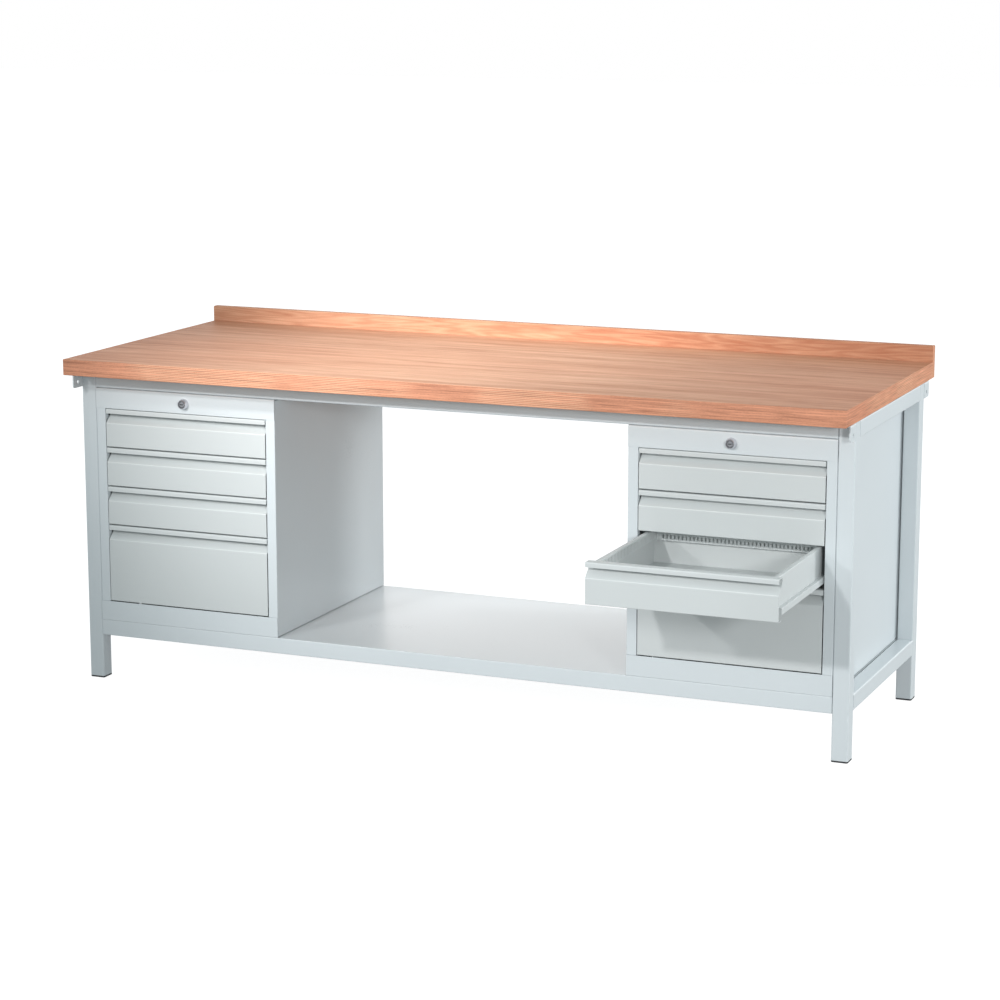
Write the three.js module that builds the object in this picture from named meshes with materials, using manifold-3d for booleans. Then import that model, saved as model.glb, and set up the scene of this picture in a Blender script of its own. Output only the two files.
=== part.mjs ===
// Workbench with two drawer pedestals. Millimetres, +X right, +Y back, +Z up.
// A frame of square steel tube carries a wooden top with a backboard, a full-length sheet steel
// shelf, and two pedestals of four drawers. Each pedestal has a lock that turns a cam, which lifts
// a bar whose tabs stop the drawers. The third drawer on the right stands open.
// The origin is on the floor, under the middle of the whole object's box.
import * as THREE from 'three';
import { mergeVertices } from 'three/addons/utils/BufferGeometryUtils.js';
import Module from 'manifold-3d';

const wasm = await Module();
wasm.setup();

// ---- Driving dimensions ------------------------------------------------------------------------

// top and backboard
const TOP_LENGTH = 2000;
const TOP_DEPTH = 780;
const TOP_THICKNESS = 40;
const TOP_LEVEL = 832; // floor to working surface
const BACKBOARD_THICKNESS = 20;
const BACKBOARD_RISE = 40; // above the working surface

// tube frame
const TUBE = 40;
const TUBE_WALL = 2;
const END_INSET = 1; // top passes the legs by this at each end
const FRONT_OVERHANG = 86; // top passes the legs by this at the front
const FRAME_DEPTH = 620;
const FOOT_THICKNESS = 4;
const FOOT_PLUG = 18; // length of the cap's plug inside the leg

// ears that stand out in front of and behind the legs, under the top
const EAR_REACH = 44;
const EAR_HEIGHT = 39;
const EAR_THICKNESS = 3;
const EAR_FLANGE = 25;
const EAR_HOLE = 9;
const EAR_HOLE_OUT = 22; // hole centre from the leg
const EAR_HOLE_DROP = 25; // hole centre below the top of the ear

// shelf
const SHELF_LEVEL = 154;
const SHELF_BAND = 40;
const SHELF_RETURN = 20;
const RAIL_ABOVE_SHELF = 1; // top of the lower side rails

// pedestals
const PEDESTAL_WIDTH = 500;
const RAIL_CLEARANCE = 2; // pedestal to the top rail above it
const PANEL_SHEET = 1.5;
const STILE = 25;
const STILE_RETURN = 15;
const LOCK_BAND = 49;
const BASE_BAND = 50;
const SIDE_INSET = 3; // the side against the legs stands this far in from its stile
const SIDE_JOG = 10; // behind the front, where a side steps in
const BACK_FLANGE = 15;

// drawers, from the top down, in modules of one shallow drawer
const DRAWER_MODULES = [1, 1, 1, 2];
const DRAWER_SHEET = 1.2;
const FRONT_SIDE_GAP = 1.8;
const FRONT_GAP = 3; // between two fronts, one above the other
const FRONT_FLANGE = 20;
const LIP_HEIGHT = 12;
const FOLD_DROP = 36.5; // from the lip's top to the fold in the face
const RECESS_DEPTH = 24;
const RECESS_DROP = 13; // from the lip's top to the top of the sloping face
const TRAY_WIDTH = 425;
const TRAY_LIFT = 10; // tray's underside above the bottom of its module
const TRAY_DROP = 4; // tray's rim below the top of its module
const TRAY_DEPTH = 400;
const TRAY_RIM = 12; // width of the folded rim on the sides and back
const RIM_FLANGE = 28; // how far the rim is turned down inside
const OPEN_DISTANCE = 345; // how far the open drawer stands out

// drawer slides
const SLIDE_LIFT = 12; // slide above the bottom of its module
const SLIDE_HEIGHT = 16;
const SLIDE_WIDTH = 9.5;
const SLIDE_SHEET = 1.5;
const SLIDE_CLEARANCE = 0.6;
const SLIDE_SETBACK = 40; // front ends of the fixed rails behind the pedestal's front
const SLIDE_LENGTH = 450; // of the fixed rails
const POST_SETBACK = 24; // posts inside the slide's ends
const POST_WIDTH = 30;

// lock
const LOCK_DROP = 24.5; // below the pedestal's top
const LOCK_FLANGE_DIAMETER = 27;
const LOCK_FACE_DIAMETER = 22;
const LOCK_STANDOUT = 14;
const LOCK_RIM = 5; // length of the collar's straight foot
const BARREL_DIAMETER = 19;
const BARREL_LENGTH = 22; // behind the band's outer face
const PLUG_DIAMETER = 13;
const PLUG_CLEARANCE = 0.4;
const KEY_SLOT_LENGTH = 9;
const KEY_SLOT_WIDTH = 2;
const KEY_SLOT_DEPTH = 7;
const CAM_THICKNESS = 3;
const CAM_WIDTH = 12;
const CAM_THROW = 10; // centre to pin, and the bar's travel
const CAM_PIN_DIAMETER = 4;
const CAM_PIN_CLEARANCE = 0.5;

// bar that the cam lifts, behind the left stile
const BAR_SETBACK = 28; // behind the pedestal's front
const BAR_THICKNESS = 2;
const BAR_WIDTH = 18;
const BAR_HEIGHT = 20; // its upper arm
const BAR_TO_STILE = 2; // outside the opening's edge
const TAB_HEIGHT = 8;
const TAB_REACH = 12.5; // past the bar towards the drawer
const CATCH_LIFT = 49; // drawer's catch above the bottom of its module
const CATCH_REACH = 6;
const CATCH_THICKNESS = 2;
const CATCH_CLEARANCE = 1; // tab to catch when unlocked
const CATCH_GAP = 3; // tab to catch, front to back

// between pieces that touch
const JOINT_GAP = 0.3;

// ---- Places worked out from them -----------------------------------------------------------------

const overallDepth = TOP_DEPTH + BACKBOARD_THICKNESS;
const topFront = -overallDepth / 2;
const topUnderside = TOP_LEVEL - TOP_THICKNESS;
const frameTop = topUnderside - JOINT_GAP;
const frameFront = topFront + FRONT_OVERHANG;
const legOuter = TOP_LENGTH / 2 - END_INSET;
const legInner = legOuter - TUBE;
const pedestalBottom = SHELF_LEVEL + JOINT_GAP;
const pedestalTop = frameTop - TUBE - RAIL_CLEARANCE;
const pedestalCentre = legInner - JOINT_GAP - PEDESTAL_WIDTH / 2;
const openingHalf = PEDESTAL_WIDTH / 2 - STILE;
const openingTop = pedestalTop - LOCK_BAND;
const openingBottom = pedestalBottom + BASE_BAND;
const moduleCount = DRAWER_MODULES.reduce((sum, count) => sum + count, 0);
const moduleHeight = (openingTop - openingBottom) / moduleCount;
const trayHalf = TRAY_WIDTH / 2;
const trayFront = RECESS_DEPTH + DRAWER_SHEET + JOINT_GAP;
const trayBack = trayFront + TRAY_DEPTH;
const lockHeight = pedestalTop - LOCK_DROP;
const barRest = lockHeight - BAR_HEIGHT / 2;
const slideOuter = trayHalf + JOINT_GAP + SLIDE_WIDTH;
const railInner = slideOuter + SLIDE_CLEARANCE;
const catchFront = BAR_SETBACK + BAR_THICKNESS + CATCH_GAP;

// ---- Materials -----------------------------------------------------------------------------------

const finish = (color, roughness, metalness) =>
  new THREE.MeshStandardMaterial({ color, roughness, metalness });
const wood = finish('#cf9f84', 0.45, 0);
const frameCoat = finish('#c6ccd0', 0.5, 0.1);
const frontCoat = finish('#d0d1d0', 0.5, 0.1);
const galvanised = finish('#9ba1a5', 0.4, 0.8);
const chrome = finish('#c9ccd1', 0.15, 1);
const rubber = finish('#2b2d30', 0.8, 0);

// ---- Shapes --------------------------------------------------------------------------------------

function box(x0, x1, y0, y1, z0, z1) {
  const geometry = new THREE.BoxGeometry(x1 - x0, y1 - y0, z1 - z0);
  return geometry.translate((x0 + x1) / 2, (y0 + y1) / 2, (z0 + z1) / 2);
}

// Closed outline of a folded sheet. The path is one skin, and the other lies to its right.
function foldedSheet(path, thickness) {
  const skin = path.map(([u, v]) => new THREE.Vector2(u, v));
  const normals = skin.slice(1).map((point, i) => {
    const along = point.clone().sub(skin[i]).normalize();
    return new THREE.Vector2(along.y, -along.x);
  });
  const otherSkin = skin.map((point, i) => {
    const before = normals[Math.max(i - 1, 0)];
    const after = normals[Math.min(i, normals.length - 1)];
    const mitre = before.clone().add(after).divideScalar(1 + before.dot(after));
    return point.clone().addScaledVector(mitre, thickness);
  });
  return [...skin, ...otherSkin.reverse()];
}

function prism(outline, length, hole) {
  const shape = new THREE.Shape(outline);
  if (hole) shape.holes.push(new THREE.Path(hole));
  return new THREE.ExtrudeGeometry(shape, { depth: length, bevelEnabled: false });
}

// An outline in the named plane, extruded along the third axis between two places.
const basis = (x, y, z) => new THREE.Matrix4().makeBasis(
  new THREE.Vector3(...x), new THREE.Vector3(...y), new THREE.Vector3(...z));
const alongX = (outlineYZ, x0, x1, hole) => prism(outlineYZ, x1 - x0, hole)
  .applyMatrix4(basis([0, 1, 0], [0, 0, 1], [1, 0, 0])).translate(x0, 0, 0);
const alongY = (outlineXZ, y0, y1, hole) => prism(outlineXZ, y1 - y0, hole)
  .applyMatrix4(basis([1, 0, 0], [0, 0, 1], [0, -1, 0])).translate(0, y1, 0);
const alongZ = (outlineXY, z0, z1, hole) => prism(outlineXY, z1 - z0, hole).translate(0, 0, z0);

const square = (u, v, size) => {
  const half = size / 2;
  return [[-1, -1], [1, -1], [1, 1], [-1, 1]].map(([a, b]) => new THREE.Vector2(u + a * half, v + b * half));
};
const tube = (along, u, v, start, end) => along(
  square(u, v, TUBE), start, end, square(u, v, TUBE - 2 * TUBE_WALL));
const mirrored = (outline, side) => outline.map((point) => new THREE.Vector2(side * point.x, point.y));

// A round pin along Y.
function pin(diameter, y0, y1, x = 0, z = 0, sides = 32) {
  const geometry = new THREE.CylinderGeometry(diameter / 2, diameter / 2, y1 - y0, sides);
  return geometry.translate(x, (y0 + y1) / 2, z);
}

function solid(geometry) {
  const bare = geometry.clone();
  bare.deleteAttribute('normal');
  bare.deleteAttribute('uv');
  const merged = mergeVertices(bare, 1e-4);
  return new wasm.Manifold(new wasm.Mesh({
    numProp: 3,
    vertProperties: new Float32Array(merged.attributes.position.array),
    triVerts: new Uint32Array(merged.index.array),
  }));
}

function surface(manifold) {
  const { vertProperties, triVerts } = manifold.getMesh();
  const geometry = new THREE.BufferGeometry();
  geometry.setAttribute('position', new THREE.BufferAttribute(vertProperties, 3));
  geometry.setIndex(new THREE.BufferAttribute(triVerts, 1));
  geometry.computeVertexNormals();
  return geometry;
}

const join = (first, ...others) => surface(
  others.reduce((sum, geometry) => sum.add(solid(geometry)), solid(first)));
const cut = (first, ...tools) => surface(
  tools.reduce((rest, geometry) => rest.subtract(solid(geometry)), solid(first)));

function place(parent, name, geometry, material) {
  const mesh = new THREE.Mesh(geometry, material);
  mesh.name = name;
  parent.add(mesh);
}

// ---- Frame, top and shelf ------------------------------------------------------------------------

function addTop(bench) {
  const half = TOP_LENGTH / 2;
  const topBack = topFront + TOP_DEPTH;
  place(bench, 'worktop', box(-half, half, topFront, topBack - JOINT_GAP, topUnderside, TOP_LEVEL), wood);
  place(bench, 'backboard', box(-half, half, topBack, topBack + BACKBOARD_THICKNESS,
    topUnderside, TOP_LEVEL + BACKBOARD_RISE), wood);
}

function addFrame(bench) {
  const frameBack = frameFront + FRAME_DEPTH;
  const legMiddle = legOuter - TUBE / 2;
  const ends = [['front', frameFront + TUBE / 2], ['back', frameBack - TUBE / 2]];
  const reach = [frameFront + TUBE + JOINT_GAP, frameBack - TUBE - JOINT_GAP];
  const railHeight = frameTop - TUBE / 2;
  for (const [sideName, side] of [['left', -1], ['right', 1]]) {
    const x = side * legMiddle;
    for (const [endName, y] of ends) {
      const outwards = endName === 'front' ? -1 : 1;
      place(bench, `leg_${endName}_${sideName}`,
        tube(alongZ, x, y, FOOT_THICKNESS + JOINT_GAP, frameTop), frameCoat);
      place(bench, `foot_cap_${endName}_${sideName}`, footCap(x, y), rubber);
      place(bench, `ear_${endName}_${sideName}`, ear(side, y + outwards * TUBE / 2, outwards), frameCoat);
    }
    place(bench, `top_side_rail_${sideName}`, tube(alongY, x, railHeight, ...reach), frameCoat);
    place(bench, `lower_side_rail_${sideName}`,
      tube(alongY, x, SHELF_LEVEL + RAIL_ABOVE_SHELF - TUBE / 2, ...reach), frameCoat);
  }
  const span = legInner - JOINT_GAP;
  for (const [endName, y] of ends) {
    place(bench, `top_rail_${endName}`, tube(alongX, y, railHeight, -span, span), frameCoat);
  }
}

function footCap(x, y) {
  const plug = TUBE - 2 * TUBE_WALL - 2 * JOINT_GAP;
  return join(
    alongZ(square(x, y, TUBE), 0, FOOT_THICKNESS),
    alongZ(square(x, y, plug), FOOT_THICKNESS / 2, FOOT_THICKNESS + FOOT_PLUG));
}

// An angle on the leg: an upright plate with a bolt hole and a flange under the top.
function ear(side, legFace, outwards) {
  const near = legFace + outwards * JOINT_GAP;
  const far = legFace + outwards * EAR_REACH;
  const [y0, y1] = [Math.min(near, far), Math.max(near, far)];
  const path = [[legOuter, frameTop - EAR_HEIGHT], [legOuter, frameTop], [legOuter - EAR_FLANGE, frameTop]];
  const angle = alongY(mirrored(foldedSheet(path.reverse(), EAR_THICKNESS), side), y0, y1);
  const hole = new THREE.CylinderGeometry(EAR_HOLE / 2, EAR_HOLE / 2, 3 * EAR_THICKNESS, 24);
  hole.rotateZ(Math.PI / 2);
  hole.translate(side * legOuter, legFace + outwards * EAR_HOLE_OUT, frameTop - EAR_HOLE_DROP);
  return cut(angle, hole);
}

function addShelf(bench) {
  const half = legInner - JOINT_GAP;
  const bottom = SHELF_LEVEL - SHELF_BAND;
  const back = frameFront + FRAME_DEPTH;
  const profile = foldedSheet([
    [frameFront + SHELF_RETURN, bottom], [frameFront, bottom], [frameFront, SHELF_LEVEL],
    [back, SHELF_LEVEL], [back, bottom], [back - SHELF_RETURN, bottom],
  ], PANEL_SHEET);
  const inset = PANEL_SHEET / 2;
  const endPlate = (side) => {
    const x = side * (half - PANEL_SHEET);
    return box(x - inset, x + inset, frameFront + inset, back - inset, bottom + inset, SHELF_LEVEL - inset);
  };
  place(bench, 'shelf', join(alongX(profile, -half, half), endPlate(-1), endPlate(1)), frameCoat);
}

// ---- Pedestals -----------------------------------------------------------------------------------
// Inside a pedestal's group X is measured from its middle and Y from its front face.

function addPedestal(bench, name, centre, openDrawer) {
  const pedestal = new THREE.Group();
  pedestal.position.set(centre, frameFront, 0);
  bench.add(pedestal);
  const half = PEDESTAL_WIDTH / 2;
  const insetLeft = centre < 0 ? SIDE_INSET : 0;
  const insetRight = SIDE_INSET - insetLeft;
  place(pedestal, `${name}_pedestal_base`, basePanel(half), frameCoat);
  place(pedestal, `${name}_pedestal_top`, topPanel(half), frameCoat);
  place(pedestal, `${name}_pedestal_side_left`, sidePanel(half, -1, insetLeft), frameCoat);
  place(pedestal, `${name}_pedestal_side_right`, sidePanel(half, 1, insetRight), frameCoat);
  place(pedestal, `${name}_pedestal_back`, backPanel(insetLeft, insetRight), frameCoat);
  place(pedestal, `${name}_runner_frame_left`, runnerFrame(-1, insetLeft), galvanised);
  place(pedestal, `${name}_runner_frame_right`, runnerFrame(1, insetRight), galvanised);
  addLock(pedestal, name);
  drawerPlaces().forEach(({ bottom, height }, i) => {
    const drawer = new THREE.Group();
    drawer.position.set(0, i + 1 === openDrawer ? -OPEN_DISTANCE : 0, bottom);
    pedestal.add(drawer);
    place(drawer, `${name}_drawer_${i + 1}_front`, drawerFront(height), frontCoat);
    place(drawer, `${name}_drawer_${i + 1}_tray`, drawerTray(height), frontCoat);
  });
}

function drawerPlaces() {
  let top = openingTop;
  return DRAWER_MODULES.map((modules) => {
    const height = modules * moduleHeight;
    top -= height;
    return { bottom: top, height };
  });
}

function basePanel(half) {
  const path = [[FRAME_DEPTH, pedestalBottom], [0, pedestalBottom], [0, openingBottom]];
  return alongX(foldedSheet(path, PANEL_SHEET), -half, half);
}

function topPanel(half) {
  const path = [[0, openingTop], [0, pedestalTop], [FRAME_DEPTH, pedestalTop]];
  const panel = alongX(foldedSheet(path, PANEL_SHEET), -half, half);
  return cut(panel, pin(BARREL_DIAMETER + 2 * JOINT_GAP, -LOCK_STANDOUT, BARREL_LENGTH, 0, lockHeight));
}

// A side with its stile in front, stepped out to it where the side is inset, and a flange at the
// back. The bands lie in front of it, above and below.
function sidePanel(half, side, inset) {
  const outer = half - inset;
  const step = inset > 0 ? [[outer, SIDE_JOG + inset], [half, SIDE_JOG]] : [];
  const path = [[outer - BACK_FLANGE, FRAME_DEPTH], [outer, FRAME_DEPTH], ...step,
    [half, 0], [half - STILE, 0], [half - STILE, STILE_RETURN]];
  const bottom = pedestalBottom + PANEL_SHEET + JOINT_GAP;
  const top = pedestalTop - PANEL_SHEET - JOINT_GAP;
  const sheet = alongZ(mirrored(foldedSheet(path, PANEL_SHEET), side), bottom, top);
  const behindBand = PANEL_SHEET + JOINT_GAP;
  return cut(sheet,
    box(-half - 1, half + 1, -1, behindBand, bottom - 1, openingBottom + JOINT_GAP),
    box(-half - 1, half + 1, -1, behindBand, openingTop - JOINT_GAP, top + 1));
}

function backPanel(insetLeft, insetRight) {
  const half = PEDESTAL_WIDTH / 2 - PANEL_SHEET - JOINT_GAP;
  const back = FRAME_DEPTH - PANEL_SHEET - JOINT_GAP;
  return box(-half + insetLeft, half - insetRight, back - PANEL_SHEET, back,
    pedestalBottom + PANEL_SHEET + JOINT_GAP, pedestalTop - PANEL_SHEET - JOINT_GAP);
}

// Two posts on the side panel carry one rail for each drawer.
function runnerFrame(side, inset) {
  const end = SLIDE_SETBACK + SLIDE_LENGTH;
  const lip = trayHalf + 2 * SLIDE_CLEARANCE;
  const rails = drawerPlaces().map(({ bottom }) => {
    const low = bottom + SLIDE_LIFT - SLIDE_CLEARANCE;
    const high = bottom + SLIDE_LIFT + SLIDE_HEIGHT + SLIDE_CLEARANCE;
    const path = [[lip, high], [railInner, high], [railInner, low], [lip, low]];
    return alongY(mirrored(foldedSheet(path.reverse(), SLIDE_SHEET), side), SLIDE_SETBACK, end);
  });
  const postTop = pedestalTop - PANEL_SHEET - JOINT_GAP;
  const postBottom = pedestalBottom + PANEL_SHEET + JOINT_GAP;
  const posts = [SLIDE_SETBACK + POST_SETBACK, end - POST_SETBACK - POST_WIDTH].map((y) => {
    const inner = railInner + SLIDE_SHEET / 2;
    const outer = PEDESTAL_WIDTH / 2 - inset - PANEL_SHEET - JOINT_GAP;
    const path = [[inner, y], [outer, y], [outer, y + POST_WIDTH], [inner, y + POST_WIDTH]];
    return alongZ(mirrored(foldedSheet(path.reverse(), SLIDE_SHEET), side), postBottom, postTop);
  });
  return join(...posts, ...rails);
}

// ---- Drawers -------------------------------------------------------------------------------------
// Inside a drawer's group Z is measured from the bottom of its module.

// One folded sheet: bottom flange, face, a slope back to the finger recess, and the lip over it.
function drawerFront(height) {
  const low = FRONT_GAP / 2;
  const high = height - FRONT_GAP / 2;
  const half = openingHalf - FRONT_SIDE_GAP;
  const profile = foldedSheet([
    [FRONT_FLANGE, low], [0, low], [0, high - FOLD_DROP], [RECESS_DEPTH, high - RECESS_DROP],
    [RECESS_DEPTH, high - DRAWER_SHEET], [DRAWER_SHEET, high - DRAWER_SHEET],
    [DRAWER_SHEET, high - LIP_HEIGHT],
  ], DRAWER_SHEET);
  return alongX(profile, -half, half);
}

// Floor and walls, with a rim folded inwards and down on the sides and back, the two slides on its
// sides and the catch for the lock bar.
function drawerTray(height) {
  const low = TRAY_LIFT;
  const high = height - TRAY_DROP;
  const wall = DRAWER_SHEET;
  const rimInner = trayHalf - TRAY_RIM;
  const flangeLow = high - RIM_FLANGE;
  const sides = foldedSheet([
    [rimInner, flangeLow], [rimInner, high], [trayHalf, high], [trayHalf, low],
    [-trayHalf, low], [-trayHalf, high], [-rimInner, high], [-rimInner, flangeLow],
  ], wall);
  const back = foldedSheet([
    [trayBack - TRAY_RIM, flangeLow], [trayBack - TRAY_RIM, high], [trayBack, high], [trayBack, low],
  ], wall);
  const backHalf = trayHalf - wall / 2;
  const bodies = [
    alongY(sides, trayFront, trayBack - wall / 2),
    box(-trayHalf, trayHalf, trayFront, trayFront + wall, low, high),
    alongX(back, -backHalf, backHalf),
  ];
  bodies.push(slideMember(-1), slideMember(1));
  const catchTop = CATCH_LIFT + TAB_HEIGHT;
  bodies.push(box(-trayHalf - CATCH_REACH, -trayHalf + wall / 2, catchFront,
    catchFront + CATCH_THICKNESS, CATCH_LIFT, catchTop));
  return join(...bodies);
}

// A channel on the tray's side, with its flat web outwards.
function slideMember(side) {
  const high = SLIDE_LIFT + SLIDE_HEIGHT;
  const root = trayHalf - DRAWER_SHEET / 2;
  const path = [[root, high], [slideOuter, high], [slideOuter, SLIDE_LIFT], [root, SLIDE_LIFT]];
  return alongY(mirrored(foldedSheet(path, SLIDE_SHEET), side), trayFront, trayBack);
}

// ---- Lock ----------------------------------------------------------------------------------------

function addLock(pedestal, name) {
  const lock = new THREE.Group();
  lock.position.set(0, 0, lockHeight);
  pedestal.add(lock);
  place(lock, `${name}_lock_body`, lockBody(), chrome);
  place(lock, `${name}_lock_plug`, lockPlug(), chrome);
  place(pedestal, `${name}_lock_bar`, lockBar(), galvanised);
}

// A collar on the band and the barrel behind it, bored for the plug.
function lockBody() {
  const bore = PLUG_DIAMETER / 2 + PLUG_CLEARANCE;
  const profile = [
    [bore, BARREL_LENGTH], [BARREL_DIAMETER / 2, BARREL_LENGTH], [BARREL_DIAMETER / 2, -JOINT_GAP],
    [LOCK_FLANGE_DIAMETER / 2, -JOINT_GAP], [LOCK_FLANGE_DIAMETER / 2, -LOCK_RIM],
    [LOCK_FACE_DIAMETER / 2, -LOCK_STANDOUT], [bore, -LOCK_STANDOUT], [bore, BARREL_LENGTH],
  ].map(([radius, y]) => new THREE.Vector2(radius, y));
  return new THREE.LatheGeometry(profile.reverse(), 32);
}

// The plug with its key slot in front, and the cam with its pin behind.
function lockPlug() {
  const face = -LOCK_STANDOUT + PLUG_CLEARANCE;
  const camFront = BARREL_LENGTH + JOINT_GAP;
  const camBack = camFront + CAM_THICKNESS;
  const half = CAM_WIDTH / 2;
  const plug = join(
    pin(PLUG_DIAMETER, face, camFront + CAM_THICKNESS / 2),
    box(-half, CAM_THROW + half, camFront, camBack, -half, half),
    pin(CAM_PIN_DIAMETER, camFront, BAR_SETBACK + BAR_THICKNESS, CAM_THROW, 0, 16));
  return cut(plug, box(-KEY_SLOT_LENGTH / 2, KEY_SLOT_LENGTH / 2, face - 1, face + KEY_SLOT_DEPTH,
    -KEY_SLOT_WIDTH / 2, KEY_SLOT_WIDTH / 2));
}

// An arm over the drawers, slotted for the cam's pin, and a strip down the side with a tab for
// each drawer's catch.
function lockBar() {
  const [front, back] = [BAR_SETBACK, BAR_SETBACK + BAR_THICKNESS];
  const outer = -openingHalf - BAR_TO_STILE - BAR_WIDTH;
  const inner = outer + BAR_WIDTH;
  const pinRoom = CAM_PIN_DIAMETER / 2 + CAM_PIN_CLEARANCE;
  // the pin rises as the sine of its turn and the bar in proportion to it, so the pin gets ahead
  const widest = Math.acos(2 / Math.PI);
  const lead = CAM_THROW * (Math.sin(widest) - widest * 2 / Math.PI);
  const armEnd = CAM_THROW + CAM_WIDTH;
  const tabs = drawerPlaces().map(({ bottom }) => {
    const tabTop = bottom + CATCH_LIFT - CATCH_CLEARANCE;
    return box(outer, inner + TAB_REACH, front, back, tabTop - TAB_HEIGHT, tabTop);
  });
  const lowest = drawerPlaces().at(-1).bottom + CATCH_LIFT - CATCH_CLEARANCE - TAB_HEIGHT;
  const bar = join(
    box(outer, armEnd, front, back, barRest, barRest + BAR_HEIGHT),
    box(outer, inner, front, back, lowest, barRest + BAR_HEIGHT / 2),
    ...tabs);
  return cut(bar, box(-pinRoom, CAM_THROW + pinRoom, front - 1, back + 1,
    lockHeight - pinRoom, lockHeight + pinRoom + lead));
}

// ---- The bench -----------------------------------------------------------------------------------

const bench = new THREE.Group();
addTop(bench);
addFrame(bench);
addShelf(bench);
addPedestal(bench, 'left', -pedestalCentre, 0);
addPedestal(bench, 'right', pedestalCentre, 3);

// The open drawer stands in front of the top, so the box's middle is ahead of the bench's.
const middle = new THREE.Box3().setFromObject(bench).getCenter(new THREE.Vector3());
bench.position.set(-middle.x, -middle.y, 0);
bench.updateMatrixWorld(true);

export default bench;
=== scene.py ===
"""A steel workbench with a plywood top, a low shelf and two drawer pedestals.

The packed frame gives every size and place in metres, with X to the right, Y to the back and Z up.
The operators below make the finished pieces around it, one group of like pieces each.
"""

import math

import bmesh
import bpy
from bpy.props import FloatProperty, FloatVectorProperty, PointerProperty
from mathutils import Matrix, Vector


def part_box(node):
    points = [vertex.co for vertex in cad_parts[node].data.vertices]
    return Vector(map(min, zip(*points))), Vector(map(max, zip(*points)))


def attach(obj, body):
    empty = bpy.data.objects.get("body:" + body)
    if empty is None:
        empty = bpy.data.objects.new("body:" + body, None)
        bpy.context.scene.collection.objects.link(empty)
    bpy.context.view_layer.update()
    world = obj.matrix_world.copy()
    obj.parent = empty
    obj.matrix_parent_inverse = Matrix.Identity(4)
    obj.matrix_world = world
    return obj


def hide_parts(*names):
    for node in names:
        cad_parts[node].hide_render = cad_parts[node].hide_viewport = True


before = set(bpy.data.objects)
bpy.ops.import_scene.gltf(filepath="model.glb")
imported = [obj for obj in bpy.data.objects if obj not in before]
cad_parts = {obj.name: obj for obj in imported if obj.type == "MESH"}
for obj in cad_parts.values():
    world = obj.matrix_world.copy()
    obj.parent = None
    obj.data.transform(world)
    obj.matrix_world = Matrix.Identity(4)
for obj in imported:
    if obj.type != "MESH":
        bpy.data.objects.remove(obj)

bl_info = {
    "name": "Drawer Workbench",
    "version": (1, 0, 0),
    "blender": (4, 5, 0),
    "location": "View3D > Sidebar > Workbench",
    "description": "Makes a plywood-topped steel workbench with two drawer pedestals",
    "category": "Object",
}

MM = 0.001
JOINT_GAP = 0.3 * MM  # between two sheets that meet
HAIR_GAP = 0.1 * MM  # keeps two faces of one piece from lying in one plane
PEDESTALS = ("left", "right")
DRAWERS = (1, 2, 3, 4)
SIDES = {"left": -1, "right": 1}

# beam angle in degrees, softness of the beam's edge, and radius of the lamp in metres
SPOTS = {
    "key": (28, 0.67, 0.12),
    "core": (14, 1.0, 0.12),
    "second": (30, 0.8, 0.12),
    "front": (36, 1.0, 0.3),
    "board": (20, 1.0, 0.2),
}


def paint(red, green, blue):
    """Linear colour of a paint or veneer chip read in display values from 0 to 255."""
    def linear(value):
        share = value / 255
        return share / 12.92 if share <= 0.04045 else ((share + 0.055) / 1.055) ** 2.4
    return linear(red), linear(green), linear(blue)


def length(name, description, default):
    """A size in the panel, in metres, from a default in millimetres."""
    return FloatProperty(name=name, description=description, default=default * MM, min=0.0,
                         unit='LENGTH', precision=4)


def colour(name, description, default):
    """A colour in the panel."""
    return FloatVectorProperty(name=name, description=description, default=default, size=3,
                               subtype='COLOR', min=0.0, max=1.0)


def spot(name, description, default):
    """A place in the panel, in metres."""
    return FloatVectorProperty(name=name, description=description, default=default, size=3,
                               unit='LENGTH')


def power(name, description, default):
    """A light's power in the panel, in watts."""
    return FloatProperty(name=name, description=description, default=default, unit='POWER')


# ---- Sizes and colours ---------------------------------------------------------------------------

class BenchBoards(bpy.types.PropertyGroup):
    """Worktop and backboard."""

    edge_radius: length("Edge radius", "Sanded edge of the boards", 1.6)
    ply: length("Ply", "Thickness of one ply at the boards' edges", 4.0)
    screw_pitch: length("Screw pitch", "Between the screws behind the backboard", 320.0)
    screw_inset: length("Screw inset", "First screw from the end of the backboard", 40.0)
    screw_head: length("Screw head", "Diameter of the screws' heads", 8.0)
    light_wood: colour("Light wood", "Palest grain of the top's veneer", paint(252, 202, 168))
    dark_wood: colour("Dark wood", "Darkest grain of the top's veneer", paint(186, 122, 92))
    flame_light: colour("Flame light", "Palest grain of the backboard", paint(246, 198, 164))
    flame_dark: colour("Flame dark", "Darkest grain of the backboard", paint(196, 128, 98))
    edge_wood: colour("Edge wood", "Plies at the boards' edges", paint(220, 154, 124))
    seam_wood: colour("Seam", "Pale seam between two plies", paint(246, 206, 172))
    glue_line: colour("Glue line", "Dark line between two plies", paint(142, 84, 60))


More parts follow.
